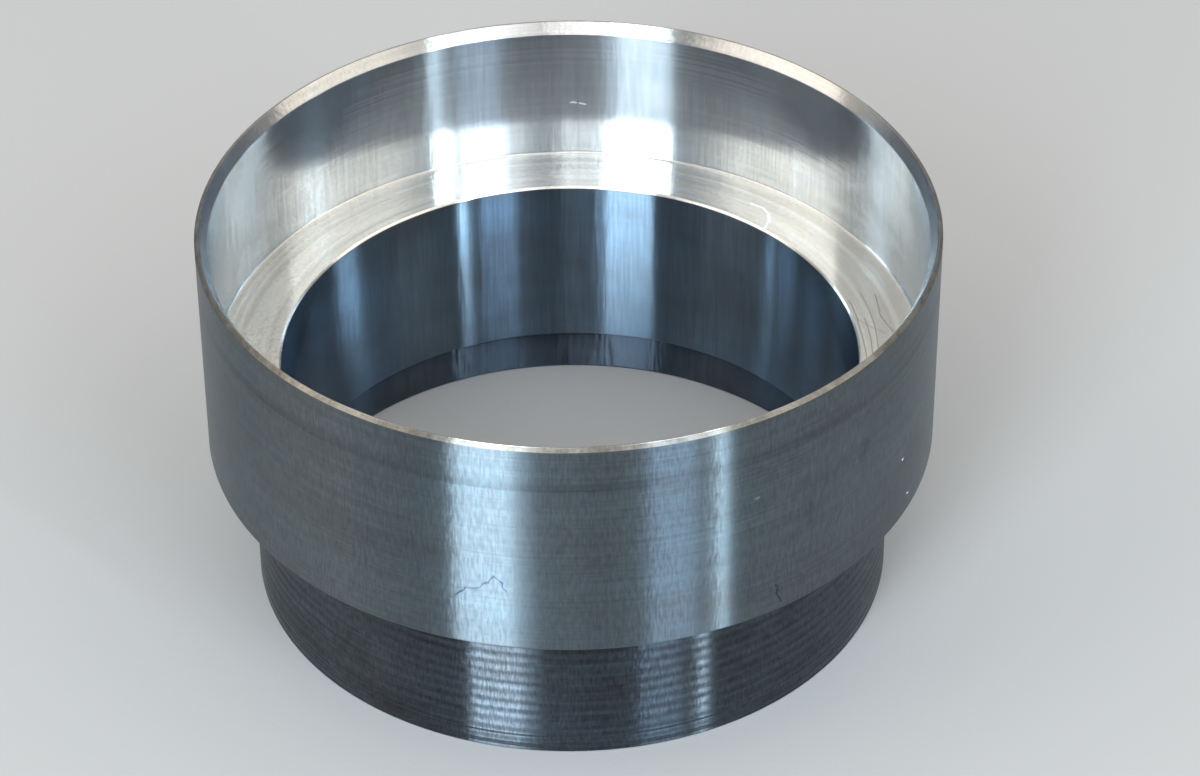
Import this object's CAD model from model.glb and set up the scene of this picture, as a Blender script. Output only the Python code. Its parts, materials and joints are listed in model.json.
"""Studio scene for a stepped ring turned in one piece from aluminium bar.

The ring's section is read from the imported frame, given rounded corners and feed ridges, and spun
into one mesh. Each surface that a tool left has a finish of its own, whose grain runs round the
axis as lathe marks do. It stands on a pale floor in a dim room, and soft boxes light it.
"""

import json
import logging
import math
from dataclasses import dataclass
from enum import Enum

import bmesh
import bpy
from mathutils import Matrix, Vector

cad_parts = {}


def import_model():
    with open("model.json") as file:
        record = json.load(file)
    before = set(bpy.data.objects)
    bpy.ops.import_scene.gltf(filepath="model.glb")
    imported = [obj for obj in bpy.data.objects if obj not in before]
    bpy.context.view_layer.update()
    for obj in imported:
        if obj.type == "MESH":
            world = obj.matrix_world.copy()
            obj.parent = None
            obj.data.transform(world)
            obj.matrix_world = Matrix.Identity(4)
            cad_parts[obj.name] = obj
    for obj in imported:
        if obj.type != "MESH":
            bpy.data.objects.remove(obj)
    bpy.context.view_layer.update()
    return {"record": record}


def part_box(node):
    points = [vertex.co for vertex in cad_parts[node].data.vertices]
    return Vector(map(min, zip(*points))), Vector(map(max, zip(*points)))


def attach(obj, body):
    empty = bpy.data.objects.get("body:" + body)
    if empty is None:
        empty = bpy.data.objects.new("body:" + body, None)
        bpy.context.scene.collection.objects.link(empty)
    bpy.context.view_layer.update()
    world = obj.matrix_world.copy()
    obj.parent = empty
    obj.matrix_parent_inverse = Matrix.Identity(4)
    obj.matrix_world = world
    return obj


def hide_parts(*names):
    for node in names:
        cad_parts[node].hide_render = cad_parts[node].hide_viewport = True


Tree = bpy.types.NodeTree
Socket = bpy.types.NodeSocket

LOG = logging.getLogger("stepped_ring")
NODE = "housing_ring"
BODY = "root"
MM = 0.001
AXIS = (0.0, 0.0, 1.0)
WHITE = "#FFFFFF"

# Corners of the section that are closer than this are one corner.
TOUCHING = 0.01 * MM
# Azimuths are unrolled at this radius, which lies amid the surfaces that carry scratches.
UNROLLED_RADIUS = 45.0 * MM
# A scratch wanders from side to side over about this length.
WANDER_LENGTH = 1.2 * MM
# Noise mostly stays between these two, so each pattern's full range is laid over them.
NOISE_LOW = 0.3
NOISE_HIGH = 0.7
NOISE_ROUGHNESS = 0.6


# ---------------------------------------------------------------- small tools


def linear(hex_colour: str) -> tuple[float, float, float, float]:
    """Turn an sRGB hex colour into linear RGBA.

    Args:
        hex_colour: six hex digits, with or without a leading #.

    Returns:
        The linear red, green and blue, and an alpha of 1.
    """
    digits = hex_colour.lstrip("#")
    channels = []
    for start in (0, 2, 4):
        value = int(digits[start:start + 2], 16) / 255
        channels.append(value / 12.92 if value <= 0.04045 else ((value + 0.055) / 1.055) ** 2.4)
    return (*channels, 1.0)


def add_node(tree: Tree, kind: str, settings: dict | None = None,
             inputs: dict | None = None) -> bpy.types.Node:
    """Add one node to a tree with its settings, values and links.

    Args:
        tree: the node tree to add to.
        kind: the node's type name.
        settings: attributes to set on the node itself.
        inputs: input name or number to a plain value, or to an output socket to link from.

    Returns:
        The new node.
    """
    node = tree.nodes.new(kind)
    for name, value in (settings or {}).items():
        setattr(node, name, value)
    for key, value in (inputs or {}).items():
        if isinstance(value, Socket):
            tree.links.new(value, node.inputs[key])
        else:
            node.inputs[key].default_value = value
    return node


def empty_tree(owner: bpy.types.Material | bpy.types.World) -> Tree:
    """Switch a material or a world to nodes and clear its tree."""
    owner.use_nodes = True
    owner.node_tree.nodes.clear()
    return owner.node_tree


def new_object(name: str, data: bpy.types.ID) -> bpy.types.Object:
    """Link a mesh, a lamp or a camera into the scene as an object at the origin."""
    obj = bpy.data.objects.new(name, data)
    bpy.context.scene.collection.objects.link(obj)
    return obj


def direction(azimuth: float, elevation: float) -> Vector:
    """Point from the ring's axis to a place round it.

    Args:
        azimuth: degrees round from the front (-Y) towards the right (+X).
        elevation: degrees above the floor.

    Returns:
        A unit vector in the row frame.
    """
    turn = math.radians(azimuth)
    lift = math.radians(elevation)
    flat = math.cos(lift)
    return Vector((flat * math.sin(turn), -flat * math.cos(turn), math.sin(lift)))


# ---------------------------------------------------------------- the ring's section


class Zone(Enum):
    """Surfaces of the ring, each with the finish that its own tool left.

    The values are the numbers of the mesh's material slots.
    """

    BASE = 0
    SKIRT = 1
    SHOULDER = 2
    BODY = 3
    CREST = 4
    CHAMFER = 5
    COUNTERBORE = 6
    LEDGE = 7
    BORE = 8
    RELIEF = 9


@dataclass(frozen=True)
class RingSection:
    """Radii and heights of the ring's half section, in metres, with its small edges.

    softened is the small radius of every corner but the nose, so that each catches some light.
    """

    relief: float
    bore: float
    skirt: float
    counterbore: float
    body: float
    relief_top: float
    shoulder: float
    ledge: float
    rim: float
    edge: float = 0.3 * MM
    rim_break: float = 0.5 * MM
    rim_chamfer_width: float = 1.0 * MM
    rim_chamfer_height: float = 1.7 * MM
    nose_radius: float = 0.4 * MM
    softened: float = 0.07 * MM

    @classmethod
    def from_frame(cls, record: dict) -> "RingSection":
        """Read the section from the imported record's mounts and the node's box.

        Args:
            record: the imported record.

        Returns:
            The section.
        """
        mounts = {mount["name"]: mount for mount in record["mounts"]}
        register = mounts["bottom_register"]
        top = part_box(NODE)[1]
        return cls(
            relief=register["dims"]["r_mm"] * MM,
            bore=mounts["through_bore"]["dims"]["r_mm"] * MM,
            skirt=mounts["skirt_outside"]["dims"]["r_mm"] * MM,
            counterbore=mounts["counterbore"]["dims"]["r_mm"] * MM,
            body=mounts["body_outside"]["dims"]["r_mm"] * MM,
            relief_top=register["pos_m"][2] + register["dims"]["length_mm"] * MM / 2,
            shoulder=mounts["shoulder_face"]["pos_m"][2],
            ledge=mounts["ledge_face"]["pos_m"][2],
            rim=top.z,
        )

    def corners(self) -> list[tuple[float, float]]:
        """List the section's corners, from the relief's mouth round the outside to its roof.

        Returns:
            The radius and the height of each corner, in metres.
        """
        return [
            (self.relief, self.edge),
            (self.relief + self.edge, 0.0),
            (self.skirt - self.edge, 0.0),
            (self.skirt, self.edge),
            (self.skirt, self.shoulder),
            (self.body - self.edge, self.shoulder),
            (self.body, self.shoulder + self.edge),
            (self.body, self.rim - self.rim_break),
            (self.body - self.rim_break, self.rim),
            (self.counterbore + self.rim_chamfer_width, self.rim),
            (self.counterbore, self.rim - self.rim_chamfer_height),
            (self.counterbore, self.ledge),
            (self.bore + self.edge, self.ledge),
            (self.bore, self.ledge - self.edge),
            (self.bore, self.relief_top),
            (self.relief, self.relief_top),
        ]

    def zone_at(self, radius: float, height: float) -> Zone:
        """Name the surface that a point on the ring lies on.

        Args:
            radius: distance from the axis, in metres.
            height: height above the bottom face, in metres.

        Returns:
            The zone.
        """
        near = 0.02 * MM
        between_walls = self.bore + near < radius < self.counterbore
        if height < self.edge - near / 4:
            return Zone.BASE
        if radius > self.body - self.edge and height > self.shoulder + self.edge / 2:
            return Zone.BODY if height < self.rim - self.rim_break else Zone.CREST
        if height > self.rim - self.rim_chamfer_height:
            return Zone.CHAMFER if height < self.rim - near else Zone.CREST
        if abs(height - self.shoulder) < self.edge and radius > self.skirt:
            return Zone.SHOULDER
        if height <= self.relief_top + near and self.bore < radius < self.relief + near:
            return Zone.RELIEF
        if height < self.shoulder and radius > self.relief + near:
            return Zone.SKIRT
        if between_walls and height < self.ledge + self.nose_radius / 2:
            return Zone.LEDGE
        return Zone.COUNTERBORE if height > self.ledge else Zone.BORE


@dataclass(frozen=True)
class FeedRidges:
    """The coarse feed's ridges on the skirt, which vary in depth."""

    pitch: float = 1.65 * MM
    depth: float = 0.05 * MM
    lowest: float = 0.75 * MM
    plain_top: float = 0.7 * MM
    cuts_per_ridge: int = 10
    depth_spread: float = 0.2
    spread_step: float = 2.3

    def inset(self, height: float, shoulder: float) -> float:
        """Give how far the skirt's wall is cut in at a height.

        Args:
            height: height above the bottom face, in metres.
            shoulder: height of the shoulder, in metres.

        Returns:
            The depth of the groove there, in metres.
        """
        turns = int((shoulder - self.plain_top - self.lowest) / self.pitch)
        place = (height - self.lowest) / self.pitch
        if not 0 <= place <= turns:
            return 0.0
        wave = math.sin(self.spread_step * math.floor(place))
        share_of_depth = 1 - self.depth_spread + self.depth_spread * wave
        return self.depth * share_of_depth * (1 - math.cos(math.tau * place)) / 2


# ---------------------------------------------------------------- finishes


@dataclass(frozen=True)
class WorkedSurface:
    """The directions on a turned surface: square to it, round the axis, and along the lay.

    The lay is the way across the tool marks: down a wall, or in along a face.
    """

    tree: Tree
    smooth: Socket
    round_axis: Socket
    lay: Socket

    @classmethod
    def under(cls, tree: Tree, place: Socket) -> "WorkedSurface":
        """Find the directions at a place.

        Args:
            tree: the material's node tree.
            place: the object coordinates.

        Returns:
            The directions.
        """
        smooth = add_node(tree, "ShaderNodeNewGeometry").outputs["Normal"]
        across = add_node(tree, "ShaderNodeVectorMath", {"operation": "CROSS_PRODUCT"}, {
            0: AXIS, 1: place})
        round_axis = add_node(tree, "ShaderNodeVectorMath", {"operation": "NORMALIZE"}, {
            0: across.outputs["Vector"]}).outputs["Vector"]
        along = add_node(tree, "ShaderNodeVectorMath", {"operation": "CROSS_PRODUCT"}, {
            0: round_axis, 1: smooth})
        lay = add_node(tree, "ShaderNodeVectorMath", {"operation": "FACEFORWARD"}, {
            0: along.outputs["Vector"], 1: place, 2: along.outputs["Vector"]}).outputs["Vector"]
        return cls(tree, smooth, round_axis, lay)

    def tipped(self, normal: Socket, towards: Socket, noise: Socket, slope: float,
               spread: float) -> Socket:
        """Tip a normal by a slope and a share of noise.

        Args:
            normal: the normal to tip.
            towards: the direction to tip it in.
            noise: noise from 0 to 1.
            slope: the slope at the middle of the noise.
            spread: how far the slope goes either way at the ends of the noise.

        Returns:
            The tipped normal, of unit length.
        """
        tilt = add_node(self.tree, "ShaderNodeMapRange", {"clamp": False}, {
            "Value": noise, "To Min": slope - spread, "To Max": slope + spread})
        leaned = add_node(self.tree, "ShaderNodeVectorMath", {"operation": "MULTIPLY_ADD"}, {
            0: towards, 1: tilt.outputs["Result"], 2: normal})
        unit = add_node(self.tree, "ShaderNodeVectorMath", {"operation": "NORMALIZE"}, {
            0: leaned.outputs["Vector"]})
        return unit.outputs["Vector"]


@dataclass(frozen=True)
class Scratch:
    """A mark that handling left: a chain of short strokes over a surface.

    path holds azimuths in degrees, and heights on a wall or radii on a face in mm. other_mm is the
    one that doesn't change: the wall's radius or the face's height. bare is how much of the metal's
    mirror the mark takes away, which leaves it pale from every side.
    """

    path: tuple[tuple[float, float], ...]
    other_mm: float
    width_mm: float
    tone: str
    strength: float = 1.0
    bare: float = 0.0
    wander_mm: float = 1.0

    def strokes(self) -> list[tuple[Vector, Vector]]:
        """List the strokes on the unrolled surface, as starts and runs in metres."""
        spots = [
            Vector((math.radians(azimuth) * UNROLLED_RADIUS, (way + self.other_mm) * MM, 0.0))
            for azimuth, way in self.path
        ]
        return [(start, end - start) for start, end in zip(spots, spots[1:])]


@dataclass(frozen=True)
class WitnessBand:
    """A band round a wall where something has gripped or rubbed it, sharp below and soft above.

    shade is the light left where the band is strongest, and faintest is its least strength.
    wear_mm is the size of its worn spots, round the wall and up it.
    """

    foot_mm: float = 49.0
    sharp_mm: float = 0.25
    soft_from_mm: float = 49.8
    top_mm: float = 51.2
    shade: float = 0.8
    faintest: float = 0.3
    wear_mm: tuple[float, float] = (20.0, 3.0)
    wear_low: float = 0.3
    wear_high: float = 0.6


@dataclass(frozen=True)
class TurnedFinish:
    """Bare aluminium as one tool left it.

    Each tool mark is a groove too fine to see, with a flat land and two flanks. The land mirrors
    what is near, and the flanks tip along the lay and draw whatever is bright out into a stripe.
    The upper flank looks up from a wall, and outwards from a face. Slopes are rise over run, and
    shares are parts of the whole. Real feed marks lie about 0.1 mm apart, which is too fine to
    show, so the rings and the chatter ticks are drawn only as coarse as they need to be.
    """

    name: str
    colour: str
    patch: str
    land_roughness: float = 0.18
    flank_roughness: float = 0.26
    flank_share: float = 0.5
    flank_slope: float = 0.42
    upper_share: float = 0.5
    patch_mm: tuple[float, float] = (16.0, 9.0)
    ring_slope: float = 0.02
    ring_shade: float = 0.1
    ring_pitch_mm: float = 0.4
    ring_length_mm: float = 120.0
    chatter_slope: float = 0.03
    chatter_shade: float = 0.12
    chatter_pitch_mm: float = 0.45
    chatter_height_mm: float = 5.0
    scratches: tuple[Scratch, ...] = ()
    band: WitnessBand | None = None

    def material(self) -> bpy.types.Material:
        """Build the finish as a material.

        Returns:
            The material.
        """
        material = bpy.data.materials.new(self.name)
        tree = empty_tree(material)
        place = add_node(tree, "ShaderNodeTexCoord").outputs["Object"]
        lay_place = self._lay_place(tree, place)
        rings = self._noise(tree, lay_place, self.ring_length_mm, self.ring_pitch_mm, detail=3.0)
        chatter = self._noise(
            tree, lay_place, self.chatter_pitch_mm, self.chatter_height_mm, detail=2.0)
        colour = self._clean_colour(tree, lay_place, rings, chatter)
        if self.band:
            colour = self._banded(tree, place, lay_place, colour)
        metallic = add_node(tree, "ShaderNodeValue").outputs["Value"]
        metallic.default_value = 1.0
        for scratch in self.scratches:
            colour, metallic = self._scratched(tree, place, lay_place, scratch, colour, metallic)
        surface = WorkedSurface.under(tree, place)
        ticked = surface.tipped(
            surface.smooth, surface.round_axis, chatter, 0.0, self.chatter_slope)
        # The lay runs down a wall, so the upper flank tips against it.
        facets = []
        for slope, roughness in (
            (0.0, self.land_roughness),
            (-self.flank_slope, self.flank_roughness),
            (self.flank_slope, self.flank_roughness),
        ):
            normal = surface.tipped(ticked, surface.lay, rings, slope, self.ring_slope)
            facet = add_node(tree, "ShaderNodeBsdfPrincipled", inputs={
                "Base Color": colour, "Metallic": metallic, "Roughness": roughness,
                "Anisotropic": 1.0, "Tangent": surface.lay, "Normal": normal})
            facets.append(facet.outputs["BSDF"])
        land, upper_flank, lower_flank = facets
        flanks = add_node(tree, "ShaderNodeMixShader", inputs={
            0: self.upper_share, 1: lower_flank, 2: upper_flank})
        groove = add_node(tree, "ShaderNodeMixShader", inputs={
            0: self.flank_share, 1: land, 2: flanks.outputs["Shader"]})
        add_node(tree, "ShaderNodeOutputMaterial", inputs={"Surface": groove.outputs["Shader"]})
        return material

    def _clean_colour(self, tree: Tree, lay_place: Socket, rings: Socket,
                      chatter: Socket) -> Socket:
        """Colour the metal in soft patches, with rings and chatter a little lighter and darker.

        Args:
            tree: the material's node tree.
            lay_place: the place, with its height plus its radius as its height.
            rings: the noise of the rings.
            chatter: the noise of the chatter ticks.

        Returns:
            The colour, before any band or scratch.
        """
        patches = self._noise(tree, lay_place, *self.patch_mm, detail=4.0)
        stretched = add_node(tree, "ShaderNodeMapRange", inputs={
            "Value": patches, "From Min": NOISE_LOW, "From Max": NOISE_HIGH})
        tinted = add_node(tree, "ShaderNodeMix", {"data_type": "RGBA"}, {
            "Factor": stretched.outputs["Result"],
            "A": linear(self.colour), "B": linear(self.patch)})
        colour = tinted.outputs["Result"]
        for noise, shade in ((rings, self.ring_shade), (chatter, self.chatter_shade)):
            light = add_node(tree, "ShaderNodeMapRange", inputs={
                "Value": noise, "From Min": NOISE_LOW, "From Max": NOISE_HIGH,
                "To Min": 1 - shade, "To Max": 1.0})
            colour = self._darkened(tree, colour, light.outputs["Result"])
        return colour

    def _banded(self, tree: Tree, place: Socket, lay_place: Socket, colour: Socket) -> Socket:
        """Darken the witness band, more in some places than in others.

        Args:
            tree: the material's node tree.
            place: the object coordinates.
            lay_place: the same place, with its height plus its radius as its height.
            colour: the colour so far.

        Returns:
            The colour with the band in it.
        """
        height = add_node(tree, "ShaderNodeSeparateXYZ", inputs={"Vector": place}).outputs["Z"]
        band = self.band
        above_foot = add_node(tree, "ShaderNodeMapRange", {"interpolation_type": "SMOOTHSTEP"}, {
            "Value": height, "From Min": band.foot_mm * MM,
            "From Max": (band.foot_mm + band.sharp_mm) * MM})
        below_top = add_node(tree, "ShaderNodeMapRange", {"interpolation_type": "SMOOTHSTEP"}, {
            "Value": height, "From Min": band.top_mm * MM, "From Max": band.soft_from_mm * MM})
        inside = add_node(tree, "ShaderNodeMath", {"operation": "MULTIPLY"}, {
            0: above_foot.outputs["Result"], 1: below_top.outputs["Result"]})
        wear = self._noise(tree, lay_place, *band.wear_mm, detail=3.0)
        worn = add_node(tree, "ShaderNodeMapRange", inputs={
            "Value": wear, "From Min": band.wear_low, "From Max": band.wear_high,
            "To Min": band.faintest, "To Max": 1.0})
        amount = add_node(tree, "ShaderNodeMath", {"operation": "MULTIPLY"}, {
            0: inside.outputs["Value"], 1: worn.outputs["Result"]})
        light = add_node(tree, "ShaderNodeMapRange", inputs={
            "Value": amount.outputs["Value"], "To Min": 1.0, "To Max": band.shade})
        return self._darkened(tree, colour, light.outputs["Result"])

    @staticmethod
    def _darkened(tree: Tree, colour: Socket, light: Socket) -> Socket:
        """Scale a colour by a share."""
        scaled = add_node(tree, "ShaderNodeVectorMath", {"operation": "SCALE"}, {
            0: colour, "Scale": light})
        return scaled.outputs["Vector"]

    def _scratched(self, tree: Tree, place: Socket, lay_place: Socket, scratch: Scratch,
                   colour: Socket, metallic: Socket) -> tuple[Socket, Socket]:
        """Draw a scratch over the metal.

        Args:
            tree: the material's node tree.
            place: the object coordinates.
            lay_place: the same place, with its height plus its radius as its height.
            scratch: the scratch.
            colour: the colour so far.
            metallic: how metallic the surface is so far.

        Returns:
            The colour and the metallic share with the scratch in them.
        """
        spot = self._unrolled(tree, place, lay_place, scratch.wander_mm)
        nearest = None
        for start, run in scratch.strokes():
            distance = self._stroke_distance(tree, spot, start, run)
            if nearest is None:
                nearest = distance
            else:
                nearest = add_node(tree, "ShaderNodeMath", {"operation": "MINIMUM"}, {
                    0: nearest, 1: distance}).outputs["Value"]
        cover = add_node(tree, "ShaderNodeMapRange", {"interpolation_type": "SMOOTHSTEP"}, {
            "Value": nearest, "From Min": scratch.width_mm * MM / 2, "From Max": 0.0,
            "To Max": scratch.strength}).outputs["Result"]
        marked = add_node(tree, "ShaderNodeMix", {"data_type": "RGBA"}, {
            "Factor": cover, "A": colour, "B": linear(scratch.tone)})
        burr = add_node(tree, "ShaderNodeMath", {"operation": "MULTIPLY_ADD", "use_clamp": True}, {
            0: cover, 1: -scratch.bare, 2: metallic})
        return marked.outputs["Result"], burr.outputs["Value"]

    @staticmethod
    def _unrolled(tree: Tree, place: Socket, lay_place: Socket, wander_mm: float) -> Socket:
        """Unroll the surface: how far round from the front, and the height plus the radius.

        Args:
            tree: the material's node tree.
            place: the object coordinates.
            lay_place: the same place, with its height plus its radius as its height.
            wander_mm: how far noise moves a place, so that a stroke isn't quite straight.

        Returns:
            The place on the unrolled surface, in metres.
        """
        parts = add_node(tree, "ShaderNodeSeparateXYZ", inputs={"Vector": place})
        forwards = add_node(tree, "ShaderNodeMath", {"operation": "MULTIPLY"}, {
            0: parts.outputs["Y"], 1: -1.0})
        azimuth = add_node(tree, "ShaderNodeMath", {"operation": "ARCTAN2"}, {
            0: parts.outputs["X"], 1: forwards.outputs["Value"]})
        round_way = add_node(tree, "ShaderNodeMath", {"operation": "MULTIPLY"}, {
            0: azimuth.outputs["Value"], 1: UNROLLED_RADIUS})
        way = add_node(tree, "ShaderNodeSeparateXYZ", inputs={"Vector": lay_place}).outputs["Z"]
        flat = add_node(tree, "ShaderNodeCombineXYZ", inputs={
            "X": round_way.outputs["Value"], "Y": way})
        wobble = add_node(tree, "ShaderNodeTexNoise", inputs={
            "Vector": place, "Scale": 1 / WANDER_LENGTH, "Detail": 3.0})
        centred = add_node(tree, "ShaderNodeVectorMath", {"operation": "SUBTRACT"}, {
            0: wobble.outputs["Color"], 1: (0.5, 0.5, 0.5)})
        reach = (wander_mm * MM, wander_mm * MM, 0.0)
        moved = add_node(tree, "ShaderNodeVectorMath", {"operation": "MULTIPLY_ADD"}, {
            0: centred.outputs["Vector"], 1: reach, 2: flat.outputs["Vector"]})
        return moved.outputs["Vector"]

    @staticmethod
    def _stroke_distance(tree: Tree, spot: Socket, start: Vector, run: Vector) -> Socket:
        """Measure how far a spot is from one stroke.

        Args:
            tree: the material's node tree.
            spot: the spot on the unrolled surface.
            start: where the stroke starts.
            run: the way from its start to its end.

        Returns:
            The distance, in metres.
        """
        reach = add_node(tree, "ShaderNodeVectorMath", {"operation": "SUBTRACT"}, {
            0: spot, 1: start}).outputs["Vector"]
        along = add_node(tree, "ShaderNodeVectorMath", {"operation": "DOT_PRODUCT"}, {
            0: reach, 1: run})
        share = add_node(tree, "ShaderNodeMath", {"operation": "DIVIDE", "use_clamp": True}, {
            0: along.outputs["Value"], 1: run.length_squared})
        foot = add_node(tree, "ShaderNodeVectorMath", {"operation": "SCALE"}, {
            0: run, "Scale": share.outputs["Value"]})
        gap = add_node(tree, "ShaderNodeVectorMath", {"operation": "DISTANCE"}, {
            0: reach, 1: foot.outputs["Vector"]})
        return gap.outputs["Value"]

    @staticmethod
    def _lay_place(tree: Tree, place: Socket) -> Socket:
        """Swap a place's height for its height plus its radius, which falls along every lay."""
        parts = add_node(tree, "ShaderNodeSeparateXYZ", inputs={"Vector": place})
        flat = add_node(tree, "ShaderNodeCombineXYZ", inputs={
            "X": parts.outputs["X"], "Y": parts.outputs["Y"]})
        radius = add_node(tree, "ShaderNodeVectorMath", {"operation": "LENGTH"}, {
            0: flat.outputs["Vector"]})
        rise = add_node(tree, "ShaderNodeMath", {"operation": "ADD"}, {
            0: parts.outputs["Z"], 1: radius.outputs["Value"]})
        joined = add_node(tree, "ShaderNodeCombineXYZ", inputs={
            "X": parts.outputs["X"], "Y": parts.outputs["Y"], "Z": rise.outputs["Value"]})
        return joined.outputs["Vector"]

    @staticmethod
    def _noise(tree: Tree, lay_place: Socket, along_mm: float, across_mm: float,
               detail: float) -> Socket:
        """Make noise whose spots are one size round the ring and another across the tool marks.

        Args:
            tree: the material's node tree.
            lay_place: the place, with its height plus its radius as its height.
            along_mm: the size of a spot round the ring.
            across_mm: the size of a spot along the lay.
            detail: how many finer layers the noise has.

        Returns:
            Noise from 0 to 1.
        """
        scaled = add_node(tree, "ShaderNodeVectorMath", {"operation": "MULTIPLY"}, {
            0: lay_place, 1: (1 / (along_mm * MM), 1 / (along_mm * MM), 1 / (across_mm * MM))})
        noise = add_node(tree, "ShaderNodeTexNoise", inputs={
            "Vector": scaled.outputs["Vector"], "Scale": 1.0, "Detail": detail,
            "Roughness": NOISE_ROUGHNESS})
        return noise.outputs["Fac"]


# Where the scratched surfaces lie: the two walls' radii and the ledge's height
BODY_MM = 50.0
COUNTERBORE_MM = 48.35
LEDGE_MM = 34.0

RUB_GREY = "#4A5258"
LEDGE_DIRT = "#7A6E5E"

BODY_SCRATCHES = (
    # The jagged dark scratch across the bright stripe
    Scratch(((-17.0, 31.0), (-15.6, 32.2), (-13.4, 32.8), (-12.0, 33.9), (-11.0, 34.9),
             (-10.2, 34.2), (-9.2, 32.6)), BODY_MM, 0.36, "#343F5A", wander_mm=1.6),
    # The bent dark scratch above the shoulder
    Scratch(((32.4, 27.6), (32.6, 25.8), (33.6, 24.2)), BODY_MM, 0.34, "#2C3034", strength=0.9),
    # Two faint grey rubs
    Scratch(((38.4, 38.5), (38.5, 35.5)), BODY_MM, 1.2, RUB_GREY, strength=0.4),
    Scratch(((50.4, 42.6), (49.8, 41.0)), BODY_MM, 3.0, RUB_GREY, strength=0.4),
    # Two white specks and a pale dash
    Scratch(((61.9, 33.3), (62.2, 33.2)), BODY_MM, 0.5, WHITE, bare=1.0),
    Scratch(((64.3, 26.0), (64.6, 26.0)), BODY_MM, 0.5, WHITE, bare=1.0),
    Scratch(((28.4, 43.2), (28.9, 43.2)), BODY_MM, 0.5, "#B8C0C4", strength=0.5, bare=0.3),
)
COUNTERBORE_SCRATCHES = (
    # Three short white dashes at the back of the wall
    Scratch(((180.6, 42.4), (179.8, 42.7), (179.0, 42.75)), COUNTERBORE_MM, 0.5, WHITE,
            strength=0.7, bare=0.7, wander_mm=0.6),
    Scratch(((178.4, 42.6), (177.4, 42.5)), COUNTERBORE_MM, 0.45, WHITE,
            strength=0.7, bare=0.7, wander_mm=0.6),
    Scratch(((181.0, 41.9), (180.2, 41.9)), COUNTERBORE_MM, 0.4, WHITE,
            strength=0.6, bare=0.7, wander_mm=0.6),
)
LEDGE_SCRATCHES = (
    # The white hook that ends by the bore
    Scratch(((143.5, 43.5), (141.0, 43.7), (139.0, 43.1), (137.2, 41.8), (136.4, 40.2)),
            LEDGE_MM, 0.8, WHITE, strength=0.9, bare=1.0),
    # Fine dirty lines on the right, most of them along the tool marks and the last across them
    Scratch(((106.0, 40.4), (96.0, 40.2), (86.0, 40.6)), LEDGE_MM, 0.26, LEDGE_DIRT,
            strength=0.55, wander_mm=0.3),
    Scratch(((100.0, 41.3), (84.0, 41.4)), LEDGE_MM, 0.26, LEDGE_DIRT,
            strength=0.5, wander_mm=0.3),
    Scratch(((108.0, 42.5), (90.0, 42.2)), LEDGE_MM, 0.26, LEDGE_DIRT,
            strength=0.5, wander_mm=0.3),
    Scratch(((107.0, 44.3), (100.0, 43.6), (95.0, 44.6)), LEDGE_MM, 0.28, LEDGE_DIRT,
            strength=0.6, wander_mm=0.4),
    Scratch(((101.0, 39.6), (97.0, 41.8), (95.0, 43.4)), LEDGE_MM, 0.24, LEDGE_DIRT,
            strength=0.5, wander_mm=0.4),
)
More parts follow.
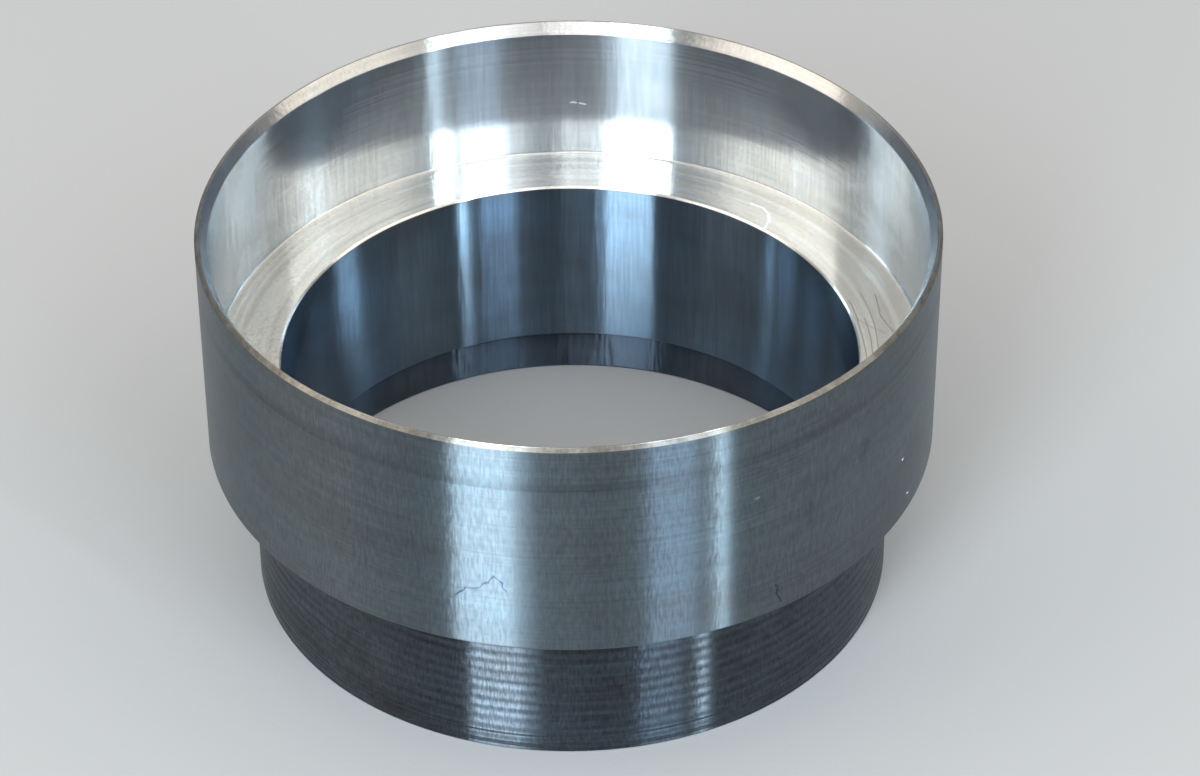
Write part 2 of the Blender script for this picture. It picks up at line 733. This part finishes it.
FINISHES = {
    # Faced aluminium: close concentric marks and an even soft grey.
    Zone.BASE: TurnedFinish("faced_aluminium_base", "#C9CBCD", "#B4B8BC"),
    # Rough-turned aluminium: a coarse feed tears the metal a little, so it is darker and broken.
    Zone.SKIRT: TurnedFinish("rough_turned_aluminium", "#6A7781", "#5A5D60", flank_share=0.92,
                             flank_roughness=0.23, upper_share=0.85, ring_slope=0.03,
                             ring_shade=0.3, ring_length_mm=20.0,
                             chatter_slope=0.018, chatter_shade=0.55, chatter_pitch_mm=0.24,
                             chatter_height_mm=1.2),
    # Faced aluminium under the shoulder: like the base, but a shade darker.
    Zone.SHOULDER: TurnedFinish("faced_aluminium_shoulder", "#B9BEC3", "#A8AEB4"),
    # Fine-turned aluminium: sharp-sided bright stripes over a cool grey that handling has mottled.
    Zone.BODY: TurnedFinish("fine_turned_aluminium", "#7A8991", "#747B80", flank_share=0.9,
                            upper_share=0.72, patch_mm=(22.0, 12.0), ring_shade=0.2,
                            ring_pitch_mm=0.3, ring_length_mm=30.0, chatter_slope=0.018,
                            chatter_shade=0.3, chatter_pitch_mm=0.26, chatter_height_mm=1.7,
                            scratches=BODY_SCRATCHES, band=WitnessBand()),
    # Turned aluminium crest, dulled by handling: a thin cream line, not a bright one.
    Zone.CREST: TurnedFinish("handled_aluminium_crest", "#C4C1B8", "#8A867C", land_roughness=0.35,
                             flank_share=0.2, patch_mm=(2.5, 0.6), chatter_shade=0.3),
    # Chamfered aluminium: its marks lean up, so it turns white under the light from overhead.
    Zone.CHAMFER: TurnedFinish("chamfered_aluminium", "#D6D5D2", "#C4C3BF", land_roughness=0.2,
                               flank_roughness=0.16, flank_share=0.85, flank_slope=0.27,
                               upper_share=0.92),
    # Bored aluminium: nearly as bright as polish, with faint rings and soft cool patches.
    Zone.COUNTERBORE: TurnedFinish("fine_bored_aluminium", "#E6F0F8", "#D4DFE7", land_roughness=0.1,
                                   flank_share=0.2, upper_share=0.85, chatter_height_mm=8.0,
                                   chatter_slope=0.014, chatter_shade=0.15,
                                   scratches=COUNTERBORE_SCRATCHES),
    # Faced aluminium ledge: the brightest face, with open concentric marks and a tarnish in them.
    Zone.LEDGE: TurnedFinish("faced_aluminium_ledge", "#FFFDF8", "#F4EFE5", land_roughness=0.22,
                             flank_share=0.18, flank_slope=0.25, ring_slope=0.04, ring_shade=0.16,
                             ring_pitch_mm=0.9, patch_mm=(14.0, 2.0), scratches=LEDGE_SCRATCHES),
    # Bored aluminium deep in the part: it sees little light and looks steel blue.
    Zone.BORE: TurnedFinish("bored_aluminium", "#6F8496", "#626F7A", flank_share=0.85,
                            flank_roughness=0.18, flank_slope=0.58, upper_share=0.55,
                            chatter_slope=0.02, chatter_shade=0.22, chatter_pitch_mm=0.35,
                            chatter_height_mm=9.0),
    # Rough-bored aluminium: coarser and darker than the bore above it.
    Zone.RELIEF: TurnedFinish("rough_bored_aluminium", "#4E5B69", "#444B53", flank_share=0.85,
                              flank_slope=0.62, upper_share=0.7, ring_slope=0.05, chatter_slope=0.1,
                              chatter_shade=0.25),
}


# ---------------------------------------------------------------- the ring


@dataclass(frozen=True)
class TurnedRing:
    """The whole object: one turned ring.

    Runs of the section that are longer than long_run are cut at holding from each of their ends.
    Points within merging of each other become one. Faces that meet at more than seam_angle, in
    degrees, meet in a sharp seam.
    """

    section: RingSection
    ridges: FeedRidges
    steps: int = 360
    nose_segments: int = 6
    corner_segments: int = 3
    long_run: float = 1.0 * MM
    holding: float = 0.05 * MM
    merging: float = 0.001 * MM
    seam_angle: float = 12.0

    def build(self) -> bpy.types.Object:
        """Spin the section into the ring and dress it.

        Returns:
            The finished object, riding on its body.
        """
        mesh = bpy.data.meshes.new("stepped_ring")
        bm = bmesh.new()
        self._draw_section(bm)
        self._hold_runs(bm)
        self._cut_ridges(bm)
        self._spin(bm)
        self._dress(bm)
        bm.to_mesh(mesh)
        bm.free()
        for zone in Zone:
            mesh.materials.append(FINISHES[zone].material())
        ring = new_object("stepped_ring", mesh)
        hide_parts(NODE)
        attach(ring, BODY)
        return ring

    def _draw_section(self, bm: bmesh.types.BMesh) -> None:
        """Draw the half section as a closed wire and round its corners."""
        section = self.section
        corners = [bm.verts.new((radius, 0.0, height)) for radius, height in section.corners()]
        for start, end in zip(corners, corners[1:] + corners[:1]):
            bm.edges.new((start, end))
        foot = Vector((section.counterbore, 0.0, section.ledge))
        nose = [corner for corner in corners if (corner.co - foot).length < TOUCHING]
        others = [corner for corner in corners if corner not in nose]
        for corner_set, offset, segments in (
            (nose, section.nose_radius, self.nose_segments),
            (others, section.softened, self.corner_segments),
        ):
            bmesh.ops.bevel(
                bm, geom=corner_set, offset=offset, offset_type="OFFSET", segments=segments,
                profile=0.5, affect="VERTICES", material=-1,
            )

    def _hold_runs(self, bm: bmesh.types.BMesh) -> None:
        """Cut each long run close to its ends, so that a rounded corner's shading stops there."""
        for run in [edge for edge in bm.edges if edge.calc_length() > self.long_run]:
            start, end = (vert.co.copy() for vert in run.verts)
            inset = (end - start).normalized() * self.holding
            cut = bmesh.ops.subdivide_edges(bm, edges=[run], cuts=2)
            near, far = sorted(
                (part for part in cut["geom_inner"] if isinstance(part, bmesh.types.BMVert)),
                key=lambda vert: (vert.co - start).length,
            )
            near.co = start + inset
            far.co = end - inset

    def _cut_ridges(self, bm: bmesh.types.BMesh) -> None:
        """Divide the skirt's wall and press the feed ridges into it."""
        wall = max(
            (edge for edge in bm.edges
             if all(abs(vert.co.x - self.section.skirt) < TOUCHING for vert in edge.verts)),
            key=lambda edge: edge.calc_length(),
        )
        cuts = int(wall.calc_length() / self.ridges.pitch * self.ridges.cuts_per_ridge)
        cut = bmesh.ops.subdivide_edges(bm, edges=[wall], cuts=cuts)
        for part in cut["geom_inner"]:
            if isinstance(part, bmesh.types.BMVert):
                part.co.x -= self.ridges.inset(part.co.z, self.section.shoulder)

    def _spin(self, bm: bmesh.types.BMesh) -> None:
        """Spin the wire a full turn about the axis, with its faces outwards."""
        bmesh.ops.spin(
            bm, geom=bm.verts[:] + bm.edges[:], cent=(0, 0, 0), axis=AXIS,
            angle=math.tau, steps=self.steps, use_merge=True,
        )
        bmesh.ops.remove_doubles(bm, verts=bm.verts, dist=self.merging)
        bmesh.ops.recalc_face_normals(bm, faces=bm.faces)

    def _dress(self, bm: bmesh.types.BMesh) -> None:
        """Give each face its finish and smooth shading, with sharp seams at the steep corners."""
        for face in bm.faces:
            centre = face.calc_center_median()
            radius = math.hypot(centre.x, centre.y)
            face.material_index = self.section.zone_at(radius, centre.z).value
            face.smooth = True
        sharpest = math.radians(self.seam_angle)
        for edge in bm.edges:
            if len(edge.link_faces) == 2 and edge.calc_face_angle() > sharpest:
                edge.smooth = False


# ---------------------------------------------------------------- studio


@dataclass(frozen=True)
class SoftBox:
    """A soft box facing the ring.

    radiance is its own brightness, where 1 is a white page in full light.
    """

    name: str
    azimuth: float
    elevation: float
    width: float
    height: float
    radiance: float
    colour: str = WHITE
    distance: float = 1.6

    def build(self, aim: Vector) -> None:
        """Place the lamp and turn it to the ring.

        Args:
            aim: the point that it faces.
        """
        lamp = bpy.data.lights.new(self.name, "AREA")
        lamp.shape = "RECTANGLE"
        lamp.size = self.width
        lamp.size_y = self.height
        lamp.color = linear(self.colour)[:3]
        lamp.energy = self.radiance * math.pi * self.width * self.height
        obj = new_object(self.name, lamp)
        away = direction(self.azimuth, self.elevation)
        obj.location = aim + away * self.distance
        obj.rotation_euler = away.to_track_quat("Z", "Y").to_euler()
        obj.visible_camera = False


@dataclass(frozen=True)
class Studio:
    """The pale floor, the dim room and the soft boxes.

    The room has the horizon's colour up to horizon_top, and the ceiling's from ceiling_foot: these
    are the rise of a direction. Its ceiling has the front's colour up to front_end, and the back's
    from back_start: these are how far back a direction runs.
    """

    floor_radius: float = 5.0
    floor_segments: int = 128
    floor_colour: str = "#B8B8B8"
    floor_roughness: float = 0.8
    tooth_mm: float = 0.9
    tooth_depth_mm: float = 0.02
    horizon_colour: str = "#526072"
    front_colour: str = "#B4BAC0"
    back_colour: str = "#FFF8EC"
    horizon_top: float = 0.42
    ceiling_foot: float = 0.62
    front_end: float = -0.7
    back_start: float = 0.3
    boxes: tuple[SoftBox, ...] = (
        SoftBox("window", -23.8, 24, 0.46, 1.1, 12.8, "#E4F4FF"),
        SoftBox("window_haze", -13.0, 24, 0.14, 1.1, 2.2, "#DCEEFF"),
        SoftBox("side_window", 28.5, 24, 0.36, 1.1, 4.3, "#CCE6FF"),
        SoftBox("window_slit", 42.4, 24, 0.065, 1.1, 22.0, "#E0F4FF"),
        SoftBox("left_wall", -80, 16, 1.0, 0.6, 0.5, "#FFE8CC"),
        SoftBox("left_ceiling", -77, 42, 1.1, 0.8, 1.6, "#FFF6EA"),
        SoftBox("front_ceiling", -12, 50, 0.64, 0.8, 2.4),
        SoftBox("front_right_ceiling", 32, 50, 0.7, 0.8, 2.0),
        SoftBox("right_ceiling", 82, 42, 1.2, 0.8, 1.1, "#FFF8EC"),
    )

    def build(self, aim: Vector) -> None:
        """Make the floor, the room and the lamps.

        Args:
            aim: the point that the lamps face.
        """
        self._floor()
        self._room()
        for box in self.boxes:
            box.build(aim)

    def _floor(self) -> None:
        """Lay the floor: a wide disc of painted board, with the faint tooth of a roller."""
        mesh = bpy.data.meshes.new("studio_floor")
        bm = bmesh.new()
        bmesh.ops.create_circle(
            bm, cap_ends=True, segments=self.floor_segments, radius=self.floor_radius)
        bm.to_mesh(mesh)
        bm.free()
        # Painted board: matt and even, so that it takes a soft shadow and mirrors nothing.
        material = bpy.data.materials.new("painted_board")
        tree = empty_tree(material)
        place = add_node(tree, "ShaderNodeTexCoord").outputs["Object"]
        tooth = add_node(tree, "ShaderNodeTexNoise", inputs={
            "Vector": place, "Scale": 1 / (self.tooth_mm * MM), "Detail": 2.0})
        bump = add_node(tree, "ShaderNodeBump", inputs={
            "Height": tooth.outputs["Fac"], "Distance": self.tooth_depth_mm * MM})
        shader = add_node(tree, "ShaderNodeBsdfPrincipled", inputs={
            "Base Color": linear(self.floor_colour), "Roughness": self.floor_roughness,
            "Normal": bump.outputs["Normal"]})
        add_node(tree, "ShaderNodeOutputMaterial", inputs={"Surface": shader.outputs["BSDF"]})
        mesh.materials.append(material)
        new_object("studio_floor", mesh)

    def _room(self) -> None:
        """Light the room: dim low down and pale above, cool before the ring and warm behind it."""
        world = bpy.data.worlds.new("studio_room")
        tree = empty_tree(world)
        look = add_node(tree, "ShaderNodeTexCoord").outputs["Generated"]
        heading = add_node(tree, "ShaderNodeSeparateXYZ", inputs={"Vector": look})
        rise = add_node(tree, "ShaderNodeMapRange", {"interpolation_type": "SMOOTHSTEP"}, {
            "Value": heading.outputs["Z"],
            "From Min": self.horizon_top, "From Max": self.ceiling_foot})
        backwards = add_node(tree, "ShaderNodeMapRange", {"interpolation_type": "SMOOTHSTEP"}, {
            "Value": heading.outputs["Y"],
            "From Min": self.front_end, "From Max": self.back_start})
        ceiling = add_node(tree, "ShaderNodeMix", {"data_type": "RGBA"}, {
            "Factor": backwards.outputs["Result"], "A": linear(self.front_colour),
            "B": linear(self.back_colour)})
        colour = add_node(tree, "ShaderNodeMix", {"data_type": "RGBA"}, {
            "Factor": rise.outputs["Result"], "A": linear(self.horizon_colour),
            "B": ceiling.outputs["Result"]})
        light = add_node(tree, "ShaderNodeBackground", inputs={"Color": colour.outputs["Result"]})
        add_node(tree, "ShaderNodeOutputWorld", inputs={"Surface": light.outputs["Background"]})
        bpy.context.scene.world = world


@dataclass(frozen=True)
class StudioCamera:
    """The camera, placed by where the middle of the rim lies from its lens.

    Places are in body radii: to the right, up and forwards of the lens. Angles are in radians.
    """

    focal_mm: float = 125.16
    tilt_down: float = 0.6515
    roll: float = -0.00556
    rim_right: float = -0.0839
    rim_up: float = 0.4518
    rim_forward: float = 11.1547
    clip_start: float = 0.02

    def build(self, rim_centre: Vector, body_radius: float) -> bpy.types.Object:
        """Place the camera and make it the scene's own.

        Args:
            rim_centre: the middle of the rim, in the row frame.
            body_radius: the ring's largest radius, in metres.

        Returns:
            The camera object.
        """
        turn = Matrix.Rotation(math.pi / 2 - self.tilt_down, 3, "X")
        axes = turn @ Matrix.Rotation(self.roll, 3, "Z")
        offset = Vector((self.rim_right, self.rim_up, -self.rim_forward)) * body_radius
        camera = new_object("studio_camera", bpy.data.cameras.new("studio_camera"))
        camera.data.lens = self.focal_mm
        camera.data.clip_start = self.clip_start
        camera.location = rim_centre - axes @ offset
        camera.rotation_euler = axes.to_euler()
        bpy.context.scene.camera = camera
        return camera


# ---------------------------------------------------------------- the scene


def main() -> None:
    """Build the ring and its studio."""
    logging.basicConfig(level=logging.INFO, format="%(name)s: %(message)s")
    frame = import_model()
    section = RingSection.from_frame(frame["record"])
    ring = TurnedRing(section, FeedRidges()).build()
    LOG.info("%s: %d faces on body %s", ring.name, len(ring.data.polygons), BODY)
    rim_centre = Vector((0.0, 0.0, section.rim))
    Studio().build(rim_centre / 2)
    LOG.info("studio: floor, room and lamps")
    bpy.context.scene.view_settings.view_transform = "Standard"
    camera = StudioCamera().build(rim_centre, section.body)
    LOG.info("%s: at %s", camera.name, [round(value, 4) for value in camera.location])


if __name__ == "__main__":
    main()
